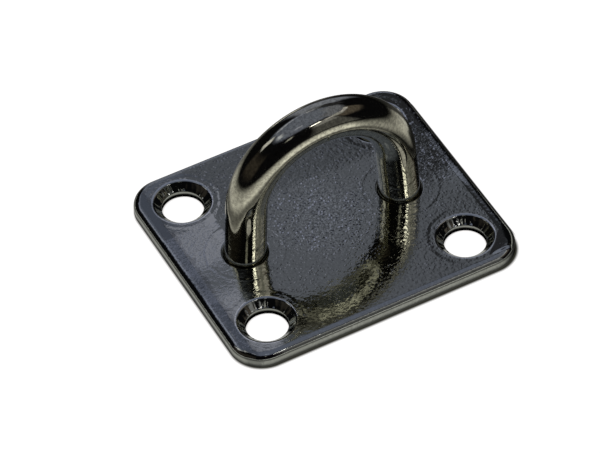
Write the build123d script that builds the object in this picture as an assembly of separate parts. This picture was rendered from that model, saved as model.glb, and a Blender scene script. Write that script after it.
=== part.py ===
from build123d import *
import os
from math import cos, radians, sin, tan

# Eye plate: a stamped steel plate with four countersunk screw holes, and a bent round rod
# welded through it as the eye. Sizes are in millimetres. The origin is the middle of the
# plate's underside, with +X along the plate's long side and +Z up through the eye.

# Plate
plate_length = 37.5
plate_width = 32.3
plate_thickness = 1.8
corner_radius = 4.0
top_edge_round = 0.9
bottom_edge_chamfer = 0.15

# Screw holes, each at its inset from the two nearest sides of the plate
hole_inset_x = 5.5
hole_inset_y = 5.3
screw_hole_diameter = 5.1
countersink_diameter = 7.0
countersink_angle = 90.0

# Bow: one rod bent round a former, whose legs spring a little way apart
rod_diameter = 5.0
bow_height = 20.6
bend_radius = 9.95
leg_splay_angle = 3.55

# Seats of the legs in the plate, and the weld metal that holds them
leg_hole_clearance = 0.15
weld_groove_depth = 0.8
weld_groove_angle = 90.0
foot_bead_width = 0.5
foot_bead_height = 0.45
foot_bead_run_in = 0.2

# Sizes worked out from those above
rod_radius = rod_diameter / 2
splay = radians(leg_splay_angle)
bend_centre_z = bow_height - rod_radius - bend_radius
leg_top_x = bend_radius * cos(splay)
leg_top_z = bend_centre_z + bend_radius * sin(splay)
leg_reach = leg_top_z / cos(splay) + rod_radius
leg_hole_radius = (rod_radius + plate_thickness * tan(splay) / 2) / cos(splay) + leg_hole_clearance
groove_radius = leg_hole_radius + weld_groove_depth * tan(radians(weld_groove_angle / 2))
screw_hole_radius = screw_hole_diameter / 2
countersink_radius = countersink_diameter / 2
screw_hole_x = plate_length / 2 - hole_inset_x
screw_hole_y = plate_width / 2 - hole_inset_y
working_size = 2 * (plate_length + plate_width + bow_height)


def leg_x_at(height):
    """Distance from the middle of the plate to the right leg's centreline at a height."""
    return leg_top_x + (leg_top_z - height) * tan(splay)


def above(height):
    """A block that fills all the space over a height."""
    block = Box(working_size, working_size, working_size)
    return Pos(0, 0, height + working_size / 2) * block


def bend_end():
    """The plane across the rod where the bend ends and the right leg begins."""
    return Plane(origin=(leg_top_x, 0, leg_top_z), z_dir=(sin(splay), 0, -cos(splay)))


def right_leg():
    """The rod along the right leg, from the end of the bend down past the underside."""
    return extrude(bend_end() * Circle(rod_radius), leg_reach)


def make_eye_bow():
    """The bent rod: an arch, with two straight legs cut off flush with the plate's underside."""
    bend_axis = Axis((0, 0, bend_centre_z), (0, -1, 0))
    arch = revolve(bend_end() * Circle(rod_radius), bend_axis, 180 - 2 * leg_splay_angle)
    rod = arch + right_leg() + mirror(right_leg(), Plane.YZ)
    return rod & above(0)


def weld_groove():
    """The cone-shaped groove round the right leg on the underside, which the root weld fills."""
    groove = Cone(groove_radius, leg_hole_radius, weld_groove_depth)
    return Pos(leg_x_at(plate_thickness / 2), 0, weld_groove_depth / 2) * groove


def leg_hole():
    """The round hole for the right leg, all the way through the plate."""
    hole = Cylinder(leg_hole_radius, 2 * plate_thickness)
    return Pos(leg_x_at(plate_thickness / 2), 0, plate_thickness / 2) * hole


def make_base_plate():
    """The stamped plate: rolled top edge, countersunk screw holes and two leg seats."""
    blank = extrude(RectangleRounded(plate_length, plate_width, corner_radius), plate_thickness)
    top_edges = blank.faces().sort_by(Axis.Z)[-1].edges()
    blank = fillet(top_edges, top_edge_round)
    bottom_edges = blank.faces().sort_by(Axis.Z)[0].edges()
    blank = chamfer(bottom_edges, bottom_edge_chamfer)

    screw_hole = CounterSinkHole(screw_hole_radius, countersink_radius, plate_thickness, countersink_angle)
    hole_places = GridLocations(2 * screw_hole_x, 2 * screw_hole_y, 2, 2)
    for place in hole_places:
        blank -= Pos(0, 0, plate_thickness) * place * screw_hole

    seat = leg_hole() + weld_groove()
    return blank - seat - mirror(seat, Plane.YZ)


def make_right_root_weld():
    """Weld metal that fills the groove round the leg, ground flush with the underside."""
    return weld_groove() - right_leg()


def make_right_foot_bead():
    """The thin bead round the leg where it enters the top of the plate.

    Its flank runs a little way into the rod, and the rod then trims it.
    """
    top_radius = rod_radius - foot_bead_run_in
    toe_radius = rod_radius + foot_bead_width
    full_height = foot_bead_height * (toe_radius - top_radius) / foot_bead_width
    flank = Cone(toe_radius, top_radius, full_height)
    bead = Pos(leg_x_at(plate_thickness), 0, plate_thickness + full_height / 2) * flank
    return bead - right_leg()


def write_part(name, shape):
    """Write one piece to its own file."""
    export_step(shape, os.path.join("parts", name + ".step"))


os.makedirs("parts", exist_ok=True)
foot_bead = make_right_foot_bead()
root_weld = make_right_root_weld()
write_part("base_plate", make_base_plate())
write_part("eye_bow", make_eye_bow())
write_part("foot_bead_right", foot_bead)
write_part("foot_bead_left", mirror(foot_bead, Plane.YZ))
write_part("root_weld_right", root_weld)
write_part("root_weld_left", mirror(root_weld, Plane.YZ))
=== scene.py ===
from math import cos, pi, radians, sin, tan
from random import Random

import bmesh
import bpy
from mathutils import Matrix, Vector
from mathutils.geometry import delaunay_2d_cdt


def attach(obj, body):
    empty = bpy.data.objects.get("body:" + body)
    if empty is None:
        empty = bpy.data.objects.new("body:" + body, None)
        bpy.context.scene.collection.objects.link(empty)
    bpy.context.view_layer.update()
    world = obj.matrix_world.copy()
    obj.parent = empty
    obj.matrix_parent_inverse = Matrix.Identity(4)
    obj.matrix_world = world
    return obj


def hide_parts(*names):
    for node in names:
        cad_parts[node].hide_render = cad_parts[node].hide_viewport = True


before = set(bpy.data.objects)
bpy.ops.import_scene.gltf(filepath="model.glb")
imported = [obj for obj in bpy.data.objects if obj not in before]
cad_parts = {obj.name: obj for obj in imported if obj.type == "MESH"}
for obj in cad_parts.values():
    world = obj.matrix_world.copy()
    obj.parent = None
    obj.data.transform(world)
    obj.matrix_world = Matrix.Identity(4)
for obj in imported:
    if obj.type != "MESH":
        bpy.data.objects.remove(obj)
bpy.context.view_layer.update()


# Base plate: a blanked steel plate with rounded corners, a rolled top edge and a sheared side.
# Four screw holes are punched and countersunk, and two more take the legs of the bow. It is
# black nickel plated and polished like a mirror, with orange peel, pits and grains in the plating.

plate_length = 0.0375
plate_width = 0.0323
plate_thickness = 0.0018
corner_radius = 0.004
top_edge_round = 0.0009
bottom_edge_round = 0.00015

screw_hole_radius = 0.00255
countersink_radius = 0.0035
countersink_rim_round = 0.00041
screw_holes = [(x, y) for x in (-0.01325, 0.01325) for y in (-0.01085, 0.01085)]

leg_splay = radians(3.55)
leg_top_x = 0.009931
leg_top_z = 0.008766
leg_hole_radius = 0.002711
leg_seat_radius = 0.00258
leg_seat_rise = 0.00005
weld_groove_depth = 0.0008


def leg_x(height):
    """How far the middle of a leg stands from the middle of the plate, at this height."""
    return leg_top_x + (leg_top_z - height) * tan(leg_splay)


leg_holes = [(side * leg_x(plate_thickness / 2), 0.0) for side in (-1, 1)]

corner_steps = 24
side_steps = (60, 50)
cut_facets = 24
steps_per_facet = 6
hole_steps = cut_facets * steps_per_facet
micron = 0.000001
facet_hollow = 24 * micron
facet_chatter = 16 * micron
skin_step = 0.00045
skin_row = 0.866
seam = 0.00004


def edge_loop(inset, height):
    """The plate's outline at this height, drawn this far inside its edge."""
    radius = corner_radius - inset
    middle_x = plate_length / 2 - corner_radius
    middle_y = plate_width / 2 - corner_radius
    corners = []
    for turn, (side_x, side_y) in enumerate(((1, 1), (-1, 1), (-1, -1), (1, -1))):
        arc = []
        for step in range(corner_steps + 1):
            angle = pi / 2 * (turn + step / corner_steps)
            arc.append(Vector((side_x * middle_x + radius * cos(angle),
                               side_y * middle_y + radius * sin(angle), height)))
        corners.append(arc)
    loop = []
    for turn, arc in enumerate(corners):
        loop += arc
        start, end = arc[-1], corners[(turn + 1) % 4][0]
        steps = side_steps[turn % 2]
        loop += [start.lerp(end, step / steps) for step in range(1, steps)]
    return loop


def hole_loop(place, radius, height):
    """A circle of points round a hole of the plate."""
    angles = [2 * pi * step / hole_steps for step in range(hole_steps)]
    return [Vector((place[0] + radius * cos(a), place[1] + radius * sin(a), height)) for a in angles]


def cut_loop(place, radius, height, chatter, share):
    """A circle on the cone of a countersink, pressed in and out by the marks of the cutter."""
    points = []
    half_facet = (steps_per_facet - 1) / 2
    for step, point in enumerate(hole_loop(place, radius, height)):
        across = (step % steps_per_facet - half_facet) / half_facet
        hollow = facet_hollow * across * across
        press = (hollow + chatter[step // steps_per_facet] * across) * share
        way_out = Vector((point.x - place[0], point.y - place[1], 0)).normalized()
        points.append(point + (way_out - Vector((0, 0, 1))) * press)
    return points


def join_loops(mesh, loops):
    """Quads between each loop of points and the next; returns the corners of the last loop."""
    rows = [[mesh.verts.new(point) for point in loop] for loop in loops]
    for low, high in zip(rows, rows[1:]):
        count = len(low)
        for here in range(count):
            there = (here + 1) % count
            mesh.faces.new((low[here], low[there], high[there], high[here]))
    return rows[-1]


def fill_face(mesh, outline, holes, inner_points):
    """Triangles that fill the outline, apart from the holes, and pass through the inner points."""
    corners = list(outline)
    edges = [(i, (i + 1) % len(outline)) for i in range(len(outline))]
    for hole in holes:
        first = len(corners)
        corners += hole
        edges += [(first + i, first + (i + 1) % len(hole)) for i in range(len(hole))]
    height = outline[0].co.z
    corners += [mesh.verts.new((x, y, height)) for x, y in inner_points]
    flat = [corner.co.to_2d() for corner in corners]
    _, _, triangles, sources, _, _ = delaunay_2d_cdt(flat, edges, [], 0, 1e-9, True)
    hole_ranges = []
    for hole in holes:
        middle = sum((corner.co for corner in hole), Vector()) / len(hole)
        hole_ranges.append((middle.to_2d(), (hole[0].co - middle).length))
    for triangle in triangles:
        picked = [corners[sources[i][0]] for i in triangle]
        middle = sum((corner.co.to_2d() for corner in picked), Vector((0, 0))) / 3
        if all((middle - place).length > radius for place, radius in hole_ranges):
            mesh.faces.new(picked)


plate_mesh = bmesh.new()
round_steps = 16
quarter = [pi / 2 * step / round_steps for step in range(round_steps + 1)]
low_round_steps = 4
low_quarter = [pi / 2 * step / low_round_steps for step in range(low_round_steps + 1)]
wall_heights = (0.0003, 0.0006, plate_thickness - top_edge_round - seam)
side_loops = [edge_loop(bottom_edge_round * (1 - sin(a)), bottom_edge_round * (1 - cos(a)))
              for a in low_quarter]
side_loops += [edge_loop(0, z) for z in wall_heights]
side_loops += [edge_loop(top_edge_round * (1 - cos(a)), plate_thickness - top_edge_round * (1 - sin(a)))
               for a in quarter]
flat_insets = [top_edge_round + seam, top_edge_round + seam * 3]
side_loops += [edge_loop(inset, plate_thickness) for inset in flat_insets]
top_outline = join_loops(plate_mesh, side_loops)
under_insets = [0.0004, bottom_edge_round + seam]
bottom_outline_loops = [edge_loop(inset, 0) for inset in under_insets] + [side_loops[0]]

rim_reach = countersink_rim_round * tan(radians(22.5))
cone_top = countersink_radius - rim_reach * sin(radians(45))
rim_middle_radius = countersink_radius + rim_reach
rim_steps = [radians(45) * (1 - step / 8) for step in range(9)]
wall_top = plate_thickness - (countersink_radius - screw_hole_radius)
screw_hole_profile = [(screw_hole_radius, height) for height in (0.0, 0.0004, wall_top - 0.00003)]
# Places up the cone, each with how much of the cutter's marks shows there.
cone_profile = [(0.00002, 0.0), (0.00008, 0.7), (0.0003, 1.0), (0.00055, 1.0), (0.00072, 0.7)]
rim_profile = [(cone_top - 0.00002, plate_thickness - countersink_radius + cone_top - 0.00002)]
rim_profile += [(rim_middle_radius - countersink_rim_round * sin(a),
                 plate_thickness - countersink_rim_round * (1 - cos(a))) for a in rim_steps]
rim_profile += [(rim_middle_radius + step, plate_thickness) for step in (seam, seam * 4)]
groove_radius = leg_hole_radius + weld_groove_depth
leg_hole_profile = [(groove_radius, 0.0), (leg_hole_radius, weld_groove_depth),
                    (leg_seat_radius, weld_groove_depth + leg_seat_rise),
                    (leg_seat_radius, plate_thickness), (leg_seat_radius + 0.0004, plate_thickness)]

top_holes = []
bottom_holes = []
cutter = Random(7)
for place in screw_holes:
    chatter = [cutter.uniform(-facet_chatter, facet_chatter) for facet in range(cut_facets)]
    loops = [hole_loop(place, radius, height) for radius, height in screw_hole_profile]
    loops += [cut_loop(place, screw_hole_radius + out, wall_top + out, chatter, share)
              for out, share in cone_profile]
    loops += [hole_loop(place, radius, height) for radius, height in rim_profile]
    top_holes.append((place, rim_profile[-1][0], join_loops(plate_mesh, loops)))
    bottom_holes.append((place, screw_hole_radius, loops[0]))
for place in leg_holes:
    loops = [hole_loop(place, radius, height) for radius, height in leg_hole_profile]
    top_holes.append((place, leg_hole_profile[-1][0], join_loops(plate_mesh, loops)))
    bottom_holes.append((place, groove_radius, loops[0]))

bmesh.ops.remove_doubles(plate_mesh, verts=plate_mesh.verts, dist=1e-8)
clear = 0.0002
inner_points = []
columns = int(plate_length / skin_step) + 1
rows = int(plate_width / (skin_step * skin_row)) + 1
reach = top_edge_round + seam * 3 + clear
for row in range(rows):
    for column in range(columns):
        x = -plate_length / 2 + (column + 0.5 * (row % 2)) * skin_step
        y = -plate_width / 2 + row * skin_step * skin_row
        past_x = max(abs(x) - (plate_length / 2 - corner_radius), 0)
        past_y = max(abs(y) - (plate_width / 2 - corner_radius), 0)
        inside = (past_x ** 2 + past_y ** 2) ** 0.5 < corner_radius - reach
        free = all((x - place[0]) ** 2 + (y - place[1]) ** 2 > (radius + clear) ** 2
                   for place, radius, _ in top_holes)
        if inside and free:
            inner_points.append((x, y))
fill_face(plate_mesh, top_outline, [hole for _, _, hole in top_holes], inner_points)

bottom_outline = join_loops(plate_mesh, bottom_outline_loops[::-1])
bottom_rings = []
for place, radius, loop in bottom_holes:
    rings = [hole_loop(place, radius + out, 0) for out in (seam, 0.0003)]
    bottom_rings.append(join_loops(plate_mesh, [loop] + rings))
fill_face(plate_mesh, bottom_outline, bottom_rings, [])
bmesh.ops.remove_doubles(plate_mesh, verts=plate_mesh.verts, dist=2e-8)
bmesh.ops.recalc_face_normals(plate_mesh, faces=plate_mesh.faces)
for face in plate_mesh.faces:
    face.smooth = True
skin = bpy.data.meshes.new("base_plate_skin")
plate_mesh.to_mesh(skin)
plate_mesh.free()
base_plate = bpy.data.objects.new("base_plate_skin", skin)
bpy.context.scene.collection.objects.link(base_plate)


class Wire:
    """An output of a node. Python's operators on it add Math nodes to its tree."""

    def __init__(self, tree, socket):
        self.tree = tree
        self.socket = socket

    @classmethod
    def add(cls, tree, kind, settings=None, sockets=None, output=0):
        """A new node: first its settings, then numbers, colours or wires for its sockets."""
        node = tree.nodes.new(kind)
        for name, value in (settings or {}).items():
            setattr(node, name, value)
        for name, value in (sockets or {}).items():
            if isinstance(value, cls):
                tree.links.new(value.socket, node.inputs[name])
            else:
                node.inputs[name].default_value = value
        return cls(tree, node.outputs[output] if node.outputs else None)

    def math(self, operation, *values):
        """A Math node of this wire's tree, with these values or wires on its sockets."""
        return Wire.add(self.tree, "ShaderNodeMath", {"operation": operation}, dict(enumerate(values)))

    def __add__(self, other):
        return self.math("ADD", self, other)

    def __sub__(self, other):
        return self.math("SUBTRACT", self, other)

    def __rsub__(self, other):
        return self.math("SUBTRACT", other, self)

    def __mul__(self, other):
        return self.math("MULTIPLY", self, other)

    def __truediv__(self, other):
        return self.math("DIVIDE", self, other)

    def __pow__(self, other):
        return self.math("POWER", self, other)

    def __abs__(self):
        return self.math("ABSOLUTE", self)

    __radd__ = __add__
    __rmul__ = __mul__


def larger(wire, other):
    """The larger of the two at each point."""
    return wire.math("MAXIMUM", wire, other)


def rise(value, low, high):
    """0 below low, 1 above high, and a smooth slope between. Where low is the higher, it falls."""
    ends = {"Value": value, "From Min": low, "From Max": high}
    return Wire.add(value.tree, "ShaderNodeMapRange", {"interpolation_type": "SMOOTHSTEP"}, ends)


def noise(place, per_metre, detail=2.0, roughness=0.5):
    """Cloudy noise from 0 to 1, with this many lumps to the metre."""
    values = {"Vector": place, "Scale": per_metre, "Detail": detail, "Roughness": roughness}
    return Wire.add(place.tree, "ShaderNodeTexNoise", None, values)


def mix(mask, dark, light):
    """The dark colour where the mask is 0 and the light one where it is 1."""
    # This node has sockets for each kind of value, and 6, 7 and 2 are the ones for colours.
    values = {0: mask, 6: dark, 7: light}
    return Wire.add(mask.tree, "ShaderNodeMix", {"data_type": "RGBA"}, values, 2)


def parts_of(place):
    """The x, y and z of a place, as three wires."""
    split = Wire.add(place.tree, "ShaderNodeSeparateXYZ", None, {"Vector": place})
    return [Wire(place.tree, output) for output in split.socket.node.outputs]


def distance_from(x, y, place):
    """How far a point of the surface lies from an upright line."""
    return ((x - place[0]) ** 2 + (y - place[1]) ** 2) ** 0.5


def new_finish(name):
    """An empty metal material: its tree, its shader and where on the object each point is."""
    material = bpy.data.materials.new(name)
    material.use_nodes = True
    tree = material.node_tree
    shader = tree.nodes["Principled BSDF"]
    shader.inputs["Metallic"].default_value = 1.0
    place = Wire.add(tree, "ShaderNodeTexCoord", output="Object")
    return material, tree, shader, place


def feed(shader, name, wire):
    """Link a wire to a socket of the shader."""
    wire.tree.links.new(wire.socket, shader.inputs[name])


def bump(height):
    """Normals of a surface that stands up by this height in metres."""
    values = {"Strength": 1.0, "Distance": 1.0, "Height": height}
    return Wire.add(height.tree, "ShaderNodeBump", None, values)


def ramp(past, soften):
    """A slope of 1 past 0, that starts softly."""
    reach = larger(past, 0.0)
    return reach * reach / (reach + soften)


def grains(per_metre, wide, share):
    """Small round grains, this wide against their spacing, in this share of the places."""
    cells = Wire.add(tree, "ShaderNodeTexVoronoi", None, {"Vector": place, "Scale": per_metre})
    cell_colour = Wire(tree, cells.socket.node.outputs["Color"])
    lot = Wire.add(tree, "ShaderNodeSeparateColor", None, {"Color": cell_colour})
    return rise(cells, wide, wide * 0.5) * rise(lot, share + 0.02, share - 0.02)


plate_finish, tree, shader, place = new_finish("plate_plating")
x, y, z = parts_of(place)
right_of_leg = rise(x, -0.0115, -0.0095)
middle = rise(distance_from(x, y, (0.0005, 0.0005)), 0.010, 0.001)
back_right = rise(distance_from(x, y, (0.0165, 0.005)), 0.009, 0.004)
before_bow = rise(y, -0.0015, -0.0045) * rise(y, -0.0140, -0.0115) * rise(x, -0.0120, -0.0100)

# The polished and plated top: waves, orange peel, a ragged patch at the left, pits and grains.
wander = noise(place, 260, 1.0) * (6 * micron)
peel = noise(place, 1700, 1.0) * (7 * micron) + noise(place, 2600, 0.0) * right_of_leg * (6 * micron)
ripple = noise(place, 3100, 0.0) * before_bow * (4 * micron)
teeth = noise(place, 2600, 3.0, 0.6) * rise(x, -0.0112, -0.0130) * (13 * micron)
pit_depth = middle * (6 * micron) + back_right * (4 * micron) + micron
pits = rise(noise(place, 3600, 1.0, 0.6), 0.50, 0.70) * pit_depth
scatter = rise(noise(place, 500, 2.0), 0.35, 0.55)
where_grains = larger(rise(middle, 0.0, 0.6), larger(back_right, 0.35))
where_grains = where_grains * rise(y, -0.0155, -0.0110) * scatter * right_of_leg
light_grains = grains(2300, 0.38, 0.52) * where_grains
dark_grains = grains(2700, 0.40, 0.48) * where_grains
grain_bumps = (light_grains - dark_grains) * (16 * micron)

# The marks of the tools: a faint ring round each foot and a shallow dish round each countersink,
# and the mask of a painted highlight on each countersink's rim.
foot_marks = 0
for hole in leg_holes:
    away = distance_from(x, y, hole)
    ring = rise(away, 0.0043, 0.0046) * rise(away, 0.0050, 0.0047)
    foot_marks = ring * (5 * micron) + foot_marks
dishes = 0
painted_rim_highlight = 0
for hole in screw_holes:
    away = distance_from(x, y, hole)
    dishes = rise(away, 0.0047, 0.0041) * (-12 * micron) + dishes
    # Painted highlight: a thin light ring on each countersink's rim.
    painted_rim_highlight = rise(away, 0.00350, 0.00358) * rise(away, 0.00380, 0.00370) + painted_rim_highlight

# The plate's slight bends: how steeply it falls or climbs, from so far out of its middle.
to_left = x * -1
fall_start = rise(y, 0.0010, -0.0060) * 0.0022 + 0.0110
left_fall = ramp(to_left - fall_start, 0.0010) * -0.094 - ramp(to_left - 0.0168, 0.0004) * 0.13
left_fall = left_fall + ramp(to_left - 0.0177, 0.0003) * 0.22
right_fall = ramp(x - 0.0120, 0.003) * rise(y, -0.004, 0.001) * -0.05 - ramp(x - 0.0172, 0.0004) * 0.2
back_climb = ramp(y - 0.0060, 0.001) * 0.06
corner_fall = ramp(x - y - 0.0291, 0.0004) * -0.15 * rise(y, -0.0152, -0.0146)

# All of these heights together, with the upright lines that the shears left on the edges.
height = peel + wander + teeth + foot_marks + dishes - pits + left_fall + back_climb + right_fall
height = height + grain_bumps + corner_fall + ripple
shear_place = Wire.add(tree, "ShaderNodeVectorMath", {"operation": "MULTIPLY"},
                       {0: place, 1: (1.0, 1.0, 0.06)})
shear_lines = noise(shear_place, 3500, 3.0, 0.6) * rise(z, 0.0012, 0.0008) * (16 * micron)
feed(shader, "Normal", bump(height + shear_lines))

# Colours: specks where the plating has pits, paler on the whole there as a painted sheen, a painted
# dark reflection as a ragged band along the left edge, light and dark grains, and a painted
# highlight as a thin light ring on the rim of each countersink.
specks = rise(noise(place, 3300, 3.0, 0.65), 0.30, 0.70)
calm_skin = mix(specks, (0.44, 0.45, 0.39, 1), (0.48, 0.49, 0.43, 1))
# Where the plating has pits the skin is paler on the whole, a painted sheen, besides its specks.
pitted_skin_with_painted_sheen = mix(specks, (0.24, 0.245, 0.21, 1), (0.90, 0.92, 0.82, 1))
pits_and_painted_sheen = larger(larger(middle * 0.8, back_right * 0.7), right_of_leg * 0.14)
# Painted dark reflection: a ragged darker band along the left edge of the top.
ragged_x = x + noise(place, 900, 4.0, 0.7) * 0.0026 - 0.0013
painted_dark_reflection_band = rise(ragged_x, -0.0163, -0.0167) * rise(x, -0.0181, -0.0177)
skin_colour = mix(pits_and_painted_sheen, calm_skin, pitted_skin_with_painted_sheen)
skin_colour = mix(painted_dark_reflection_band * 0.5, skin_colour, (0.16, 0.165, 0.15, 1))
skin_colour = mix(light_grains, skin_colour, (1.0, 1.0, 0.95, 1))
skin_colour = mix(painted_rim_highlight * 0.8, skin_colour, (0.95, 0.95, 0.85, 1))
skin_colour = mix(dark_grains * 0.9, skin_colour, (0.05, 0.05, 0.045, 1))
feed(shader, "Base Color", skin_colour)
feed(shader, "Roughness", noise(place, 900, 2.0) * 0.05 + 0.03)
skin.materials.append(plate_finish)
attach(base_plate, "root")
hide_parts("base_plate")


# Eye bow: one length of round steel rod, bent cold into an arch round a former, with both
# legs going down through the plate and cut flush under it. It is polished and plated with the
# plate after welding.

rod_radius = 0.0025
bow_height = 0.0206
bend_radius = 0.00995
bow_top = bow_height - rod_radius
line_corner_x = leg_x(bow_top)

spare_end = 0.0006
line_foot_x = leg_x(-spare_end)

bow_line = bpy.data.meshes.new("eye_bow_line")
bow_line.from_pydata([(-line_foot_x, 0, -spare_end), (-line_corner_x, 0, bow_top),
                      (line_corner_x, 0, bow_top), (line_foot_x, 0, -spare_end)],
                     [(0, 1), (1, 2), (2, 3)], [])
eye_bow = bpy.data.objects.new("eye_bow_rod", bow_line)
bpy.context.scene.collection.objects.link(eye_bow)


def new_shape_tree(name, inputs):
    """A Geometry Nodes tree with these named inputs; returns it and a wire for each input."""
    group = bpy.data.node_groups.new(name, "GeometryNodeTree")
    group.interface.new_socket("Geometry", in_out="INPUT", socket_type="NodeSocketGeometry")
    group.interface.new_socket("Geometry", in_out="OUTPUT", socket_type="NodeSocketGeometry")
    for title, kind in inputs:
        group.interface.new_socket(title, in_out="INPUT", socket_type=kind)
    start = Wire.add(group, "NodeGroupInput").socket.node
    return group, {output.name: Wire(group, output) for output in start.outputs if output.name}


def finish_tree(shape, material):
    """Close the tree: real instances, smooth shading, the material and the output."""
    group = shape.tree
    real = Wire.add(group, "GeometryNodeRealizeInstances", None, {"Geometry": shape})
    smooth = Wire.add(group, "GeometryNodeSetShadeSmooth", None, {"Geometry": real})
    dressed = Wire.add(group, "GeometryNodeSetMaterial", None,
                       {"Geometry": smooth, "Material": material})
    Wire.add(group, "NodeGroupOutput", None, {"Geometry": dressed})


def bake_shape(piece, group, values):
    """Run the tree on the piece with these values, and leave it as a plain mesh."""
    modifier = piece.modifiers.new("shape", "NODES")
    modifier.node_group = group
    for item in group.interface.items_tree:
        if item.in_out == "INPUT" and item.name in values:
            modifier[item.identifier] = values[item.name]
    bpy.context.view_layer.update()
    seen = piece.evaluated_get(bpy.context.evaluated_depsgraph_get())
    made = bpy.data.meshes.new_from_object(seen, preserve_all_data_layers=True,
                                           depsgraph=bpy.context.evaluated_depsgraph_get())
    piece.modifiers.clear()
    piece.data = made
    return made


bow_finish, tree, shader, place = new_finish("bow_plating")
x, y, z = parts_of(place)
peel = noise(place, 1500, 2.0) * (3 * micron)
grain = noise(place, 6000, 2.0) * (0.4 * micron)
feed(shader, "Normal", bump(peel + grain))
mottle = rise(noise(place, 3000, 3.0, 0.65), 0.30, 0.70)
feed(shader, "Base Color", mix(mottle, (0.37, 0.355, 0.275, 1), (0.66, 0.64, 0.49, 1)))
feed(shader, "Roughness", noise(place, 700, 2.0) * 0.06 + 0.04)

bow_inputs = [("Rod radius", "NodeSocketFloat"), ("Bend radius", "NodeSocketFloat"),
              ("Bend steps", "NodeSocketInt"), ("Round steps", "NodeSocketInt")]
group, given = new_shape_tree("eye_bow_shape", bow_inputs)
line = Wire.add(group, "GeometryNodeMeshToCurve", None, {"Mesh": given["Geometry"]})
bent = Wire.add(group, "GeometryNodeFilletCurve", {"mode": "POLY"},
                {"Curve": line, "Count": given["Bend steps"], "Radius": given["Bend radius"]})
section = Wire.add(group, "GeometryNodeCurvePrimitiveCircle", None,
                   {"Resolution": given["Round steps"], "Radius": given["Rod radius"]})
rod = Wire.add(group, "GeometryNodeCurveToMesh", None,
               {"Curve": bent, "Profile Curve": section, "Fill Caps": True})
rod_x, rod_y, rod_z = parts_of(Wire.add(group, "GeometryNodeInputPosition"))
cut_off = Wire.add(group, "ShaderNodeCombineXYZ", None,
                   {"X": rod_x, "Y": rod_y, "Z": larger(rod_z, 0.0)})
flush = Wire.add(group, "GeometryNodeSetPosition", None, {"Geometry": rod, "Position": cut_off})
finish_tree(flush, bow_finish)
bake_shape(eye_bow, group, {"Rod radius": rod_radius, "Bend radius": bend_radius,
                            "Bend steps": 72, "Round steps": 96})
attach(eye_bow, "root")
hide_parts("eye_bow")


# Root welds and foot beads: weld metal fills the groove round each leg under the plate and is
# ground flush. On top a thin uneven bead of weld and plating closes the gap round each foot.

weld_finish, tree, shader, place = new_finish("weld_plating")
lumps = noise(place, 2600, 3.0, 0.6) * (20 * micron)
feed(shader, "Normal", bump(lumps))
burnt = rise(noise(place, 1200, 2.0), 0.4, 0.7)
feed(shader, "Base Color", mix(burnt, (0.28, 0.265, 0.2, 1), (0.1, 0.095, 0.07, 1)))
feed(shader, "Roughness", noise(place, 2000, 2.0) * 0.1 + 0.08)
for node_name in ("root_weld_left", "root_weld_right"):
    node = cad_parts[node_name]
    node.data.materials.clear()
    node.data.materials.append(weld_finish)

bead_width = 0.0002
bead_height = 0.00018
bead_unevenness = 0.00008
bead_overlap = 0.00002
bead_inputs = [("Leg radius", "NodeSocketFloat"), ("Width", "NodeSocketFloat"),
               ("Height", "NodeSocketFloat"), ("Uneven", "NodeSocketFloat"),
               ("Steps", "NodeSocketInt")]
group, given = new_shape_tree("foot_bead_shape", bead_inputs)
ring = Wire.add(group, "GeometryNodeCurvePrimitiveCircle", None,
                {"Resolution": given["Steps"], "Radius": given["Leg radius"]})


def at_side(out, high):
    """A point of the bead's side, as shares of its width and height."""
    sides = {"X": given["Width"] * out, "Y": given["Height"] * high}
    return Wire.add(group, "ShaderNodeCombineXYZ", None, sides)


side = Wire.add(group, "GeometryNodeCurvePrimitiveBezierSegment", None, {
    "Resolution": 10, "Start": at_side(0.0, 1.0), "Start Handle": at_side(0.1, 0.3),
    "End Handle": at_side(0.5, 0.0), "End": at_side(1.0, -0.05)})
bead = Wire.add(group, "GeometryNodeCurveToMesh", None, {"Curve": ring, "Profile Curve": side})
bead_place = Wire.add(group, "GeometryNodeInputPosition")
lump = noise(bead_place, 1500, 2.0)
push = Wire.add(group, "ShaderNodeVectorMath", {"operation": "SCALE"},
                {0: (0, 0, 1), "Scale": (lump - 0.5) * given["Uneven"]})
uneven = Wire.add(group, "GeometryNodeSetPosition", None, {"Geometry": bead, "Offset": push})
finish_tree(uneven, weld_finish)
for name, side_sign in (("foot_bead_left", -1), ("foot_bead_right", 1)):
    seed = bpy.data.meshes.new(name + "_ring")
    bead_piece = bpy.data.objects.new(name + "_ring", seed)
    bpy.context.scene.collection.objects.link(bead_piece)
    made = bake_shape(bead_piece, group, {"Leg radius": rod_radius - bead_overlap, "Width": bead_width,
                                          "Height": bead_height, "Uneven": bead_unevenness,
                                          "Steps": 120})
    made.transform(Matrix.Translation((side_sign * leg_x(plate_thickness), 0, plate_thickness)))
    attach(bead_piece, "root")
    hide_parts(name)


# Floor: a plain white sheet that the eye plate lies on. The camera sees it white, with a thin
# painted shade at the plate. The polished metal sees painted light and shade on it: lit near the
# plate and in wide slices round it, with a painted shade as a dark strip along the plate's right side.

floor_half = 1.5
floor_corners = [(-floor_half, -floor_half, 0), (floor_half, -floor_half, 0),
                 (floor_half, floor_half, 0), (-floor_half, floor_half, 0)]
floor_mesh = bpy.data.meshes.new("floor")
floor_mesh.from_pydata(floor_corners, [], [(0, 1, 2, 3)])
floor = bpy.data.objects.new("floor", floor_mesh)
bpy.context.scene.collection.objects.link(floor)
floor_paint = bpy.data.materials.new("white_sheet")
floor_paint.use_nodes = True
tree = floor_paint.node_tree
tree.nodes.clear()


def smaller(wire, other):
    """The smaller of the two at each point."""
    return wire.math("MINIMUM", wire, other)


def heading_of(x, y):
    """Which way a point lies, in degrees from +Y towards +X."""
    return x.math("ARCTAN2", x, y) * (180 / pi)


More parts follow.
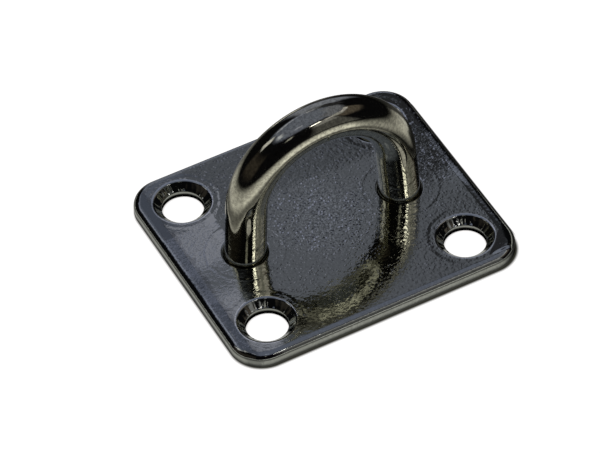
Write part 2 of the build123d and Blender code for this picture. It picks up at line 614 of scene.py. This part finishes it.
def degrees_off(heading, towards):
    """How far a heading is from this one, the shorter way round."""
    return abs(heading.math("WRAP", heading - towards, 180.0, -180.0))


def sector(towards, half_width, soft):
    """A soft-edged slice of the floor, seen from the middle of the plate, in degrees."""
    return rise(degrees_off(heading, towards), half_width + soft / 2, half_width - soft / 2)


def outside_plate(shift_x, shift_y):
    """How far a point lies outside the plate's outline, once that is shifted by this much."""
    past_x = larger(abs(x - shift_x) - (plate_length / 2 - corner_radius), 0.0)
    past_y = larger(abs(y - shift_y) - (plate_width / 2 - corner_radius), 0.0)
    return (past_x ** 2 + past_y ** 2) ** 0.5 - corner_radius


place = Wire.add(tree, "ShaderNodeTexCoord", output="Object")
x, y, z = parts_of(place)
heading = heading_of(x, y)
hidden_hole = screw_holes[3]

# As the metal sees it, painted light and shade: lit and shaded slices further out, painted shade
# right at the plate with light just beyond, a painted pool of light further out, the painted
# dark strip of shade at the right, and a glow under each screw hole but the hidden one.
lit_reach = 0.11
away = distance_from(x, y, (0, 0)) / lit_reach
falloff = (away * away + 1) ** -1.5
slices = sector(-150, 32, 10) * 0.22 + 0.70
for towards, half_width, soft, loss in ((15, 45, 25, 0.68), (50, 24, 10, 0.88), (128, 18, 10, 0.35)):
    slices = slices * (1 - sector(towards, half_width, soft) * loss)
slices = slices + sector(166, 17, 6) * 0.45
outside = outside_plate(0.0, -0.0001)
# Painted shade right at the plate's edge, a painted band of light just beyond, dimmer further out.
near = rise(outside, 0.0001, 0.00055) * 0.40 + 0.08 - rise(outside, 0.0010, 0.0030) * 0.33
far = rise(outside, 0.0055, 0.0170)
# A painted pool of light further out.
far_glow = sector(6, 7, 5) * rise(away, 0.75, 1.0) * rise(away, 1.8, 1.4)
# Painted shade: a dark strip along the plate's right side, as the metal sees the floor.
painted_right_shade = sector(90, 44, 10) * rise(outside, 0.0065, 0.0035)
painted_right_shade = larger(painted_right_shade, sector(80, 16, 10) * rise(outside, 0.018, 0.012))
lit = (near * (1 - far) + falloff * slices * far) * (1 - painted_right_shade * 0.93) + far_glow
for hole in screw_holes:
    from_hole = distance_from(x, y, hole)
    lit = lit * rise(from_hole, 0.0026, 0.0029)
    if hole != hidden_hole:
        lit = lit + rise(from_hole, 0.0022, 0.0016) * 0.45
lit_grey = Wire.add(tree, "ShaderNodeVectorMath", {"operation": "SCALE"}, {0: (1, 1, 1), "Scale": lit})
sheet_in_metal = Wire.add(tree, "ShaderNodeEmission", None, {"Color": lit_grey, "Strength": 1.0})

# As the camera sees it: white, with a thin painted shade under the front and right edges. It shows
# white through the screw holes too, but for a soft crescent of painted shadow in the hole that the bow
# hides.
front_white = rise(outside_plate(0.0001, -0.00016), -0.0001, 0.00036)
right_white = rise(outside_plate(0.0005, 0.0003), 0.0, 0.00014)
right_white = larger(right_white, rise(y, -0.0105, -0.0130))
unshaded = smaller(front_white, right_white)
for hole in screw_holes:
    unshaded = larger(unshaded, rise(distance_from(x, y, hole), 0.0029, 0.0023))
# Painted shadow: a soft crescent in the hole that the bow hides.
beside_crescent = rise(distance_from(x, y, (0.0149, 0.0121)), 0.0034, 0.0029)
round_hole = rise(distance_from(x, y, hidden_hole), 0.0027, 0.0029)
unshaded = unshaded * larger(beside_crescent, round_hole)
sheet_white = mix(unshaded, (0.03, 0.03, 0.02, 1), (1.0, 0.985, 0.96, 1))
sheet_glow = Wire.add(tree, "ShaderNodeEmission", None, {"Color": sheet_white, "Strength": 0.86})
paper = mix(unshaded, (0.02, 0.02, 0.02, 1), (0.85, 0.85, 0.85, 1))
sheet_paper = Wire.add(tree, "ShaderNodeBsdfDiffuse", None, {"Color": paper})
sheet_seen = Wire.add(tree, "ShaderNodeAddShader", None, {0: sheet_glow, 1: sheet_paper})
ray_is_glossy = Wire.add(tree, "ShaderNodeLightPath", output="Is Glossy Ray")
sheet = Wire.add(tree, "ShaderNodeMixShader", None, {0: ray_is_glossy, 1: sheet_seen, 2: sheet_in_metal})
Wire.add(tree, "ShaderNodeOutputMaterial", None, {"Surface": sheet})
floor_mesh.materials.append(floor_paint)


# Studio: a dark room with a cool grey ceiling, soft panels in several greys round it, and a few
# small bright ones. The polished metal shows these. The camera sees a plain white backdrop
# instead, and one soft lamp gives the plate its shadow.

studio = bpy.data.worlds.new("studio")
bpy.context.scene.world = studio
studio.use_nodes = True
tree = studio.node_tree
tree.nodes.clear()
way = Wire.add(tree, "ShaderNodeTexCoord", output="Generated")
x, y, z = parts_of(way)
heading = heading_of(x, y)
elevation = way.math("ARCSINE", z) * (180 / pi)


def panel(towards, half_width, middle, half_height, soft):
    """A soft-edged panel of the room: 1 inside, 0 outside. All in degrees, heading from +Y to +X."""
    across = rise(degrees_off(heading, towards), half_width + soft / 2, half_width - soft / 2)
    return across * rise(abs(elevation - middle), half_height + soft / 2, half_height - soft / 2)


dark_wall = (0.004, 0.004, 0.005, 1)
ceiling = (0.165, 0.185, 0.27, 1)
room = mix(rise(elevation, 50, 60), dark_wall, ceiling)

# Each panel's heading, half its width, its height in the room, half its own height, how soft its
# edge is, and its colour. A later panel lies over the earlier ones.
panels = (((-25, 32, 56, 12, 8), (0.15, 0.17, 0.25, 1)),
          ((95, 45, 58, 10, 8), (0.18, 0.19, 0.25, 1)),
          ((22, 20, 26, 22, 12), (0.25, 0.27, 0.37, 1)),
          ((24, 14, 46, 8, 8), (0.15, 0.16, 0.205, 1)),
          ((44, 14, 44, 8, 4), (0.03, 0.031, 0.038, 1)),
          ((156, 14, 40, 9, 8), (0.27, 0.27, 0.29, 1)),
          ((156, 14, 14, 18, 6), (0.10, 0.10, 0.105, 1)),
          ((112, 26, 38, 9, 8), (0.10, 0.085, 0.075, 1)),
          ((122, 30, 46.5, 2.2, 1.6), (0.62, 0.60, 0.66, 1)),
          ((166, 7.5, 47.7, 1.3, 1.0), (5.0, 4.9, 5.2, 1)),
          ((-155, 5, 45, 3, 2), (0.45, 0.45, 0.45, 1)),
          ((-62, 9, 44, 8, 5), (0.7, 0.7, 0.75, 1)),
          ((-90, 30, 20, 12, 14), (0.035, 0.03, 0.026, 1)),
          ((-90, 16, 61, 3, 5), (0.55, 0.58, 0.72, 1)),
          ((-155, 12, 72, 3, 4), (0.45, 0.48, 0.65, 1)),
          ((-24, 16, 50, 3, 4), (0.41, 0.43, 0.57, 1)),
          ((2, 20.5, 49.6, 1.2, 0.8), (0.375, 0.405, 0.60, 1)),
          ((17.2, 6.3, 51.4, 2.6, 1.3), (0.385, 0.395, 0.51, 1)),
          ((130, 9, 46, 4, 4), (0.34, 0.34, 0.36, 1)))
for where, colour in panels:
    room = mix(panel(*where), room, colour)
room_light = Wire.add(tree, "ShaderNodeBackground", None, {"Color": room, "Strength": 1.0})
backdrop = Wire.add(tree, "ShaderNodeBackground", None, {"Color": (1, 1, 1, 1), "Strength": 1.0})
ray_is_camera = Wire.add(tree, "ShaderNodeLightPath", output="Is Camera Ray")
seen = Wire.add(tree, "ShaderNodeMixShader", None, {0: ray_is_camera, 1: room_light, 2: backdrop})
Wire.add(tree, "ShaderNodeOutputWorld", None, {"Surface": seen})

lamp_place = Vector((-0.25, 0.15, 0.9))
key_light = bpy.data.lights.new("soft_lamp", "AREA")
key_light.shape = "DISK"
key_light.size = 0.5
key_light.energy = 1.6
key_light.color = (1.0, 0.97, 0.93)
key_lamp = bpy.data.objects.new("soft_lamp", key_light)
key_lamp.location = lamp_place
key_lamp.rotation_euler = lamp_place.to_track_quat("Z", "Y").to_euler()
key_lamp.visible_glossy = False
bpy.context.scene.collection.objects.link(key_lamp)


# Camera: stands off at the front left, with the long lens that the photograph's even
# perspective shows.

camera_azimuth = radians(-25.7508)
camera_elevation = radians(46.9828)
camera_roll = radians(-3.1088)
camera_distance = 0.47813
camera_right = 0.0027953
camera_up = -0.0002883
back = Vector((sin(camera_azimuth) * cos(camera_elevation),
               -cos(camera_azimuth) * cos(camera_elevation), sin(camera_elevation)))
level_right = Vector((0, 0, 1)).cross(back).normalized()
upright = back.cross(level_right)
right = level_right * cos(camera_roll) + upright * sin(camera_roll)
up = upright * cos(camera_roll) - level_right * sin(camera_roll)
camera_data = bpy.data.cameras.new("camera")
camera_data.lens = 240.707
camera_data.sensor_width = 36
camera_data.clip_start = 0.01
camera = bpy.data.objects.new("camera", camera_data)
turned = Matrix((right, up, back)).transposed().to_4x4()
camera_place = back * camera_distance - right * camera_right - up * camera_up
camera.matrix_world = Matrix.Translation(camera_place) @ turned
bpy.context.scene.collection.objects.link(camera)
bpy.context.scene.camera = camera
bpy.context.scene.view_settings.view_transform = "Standard"
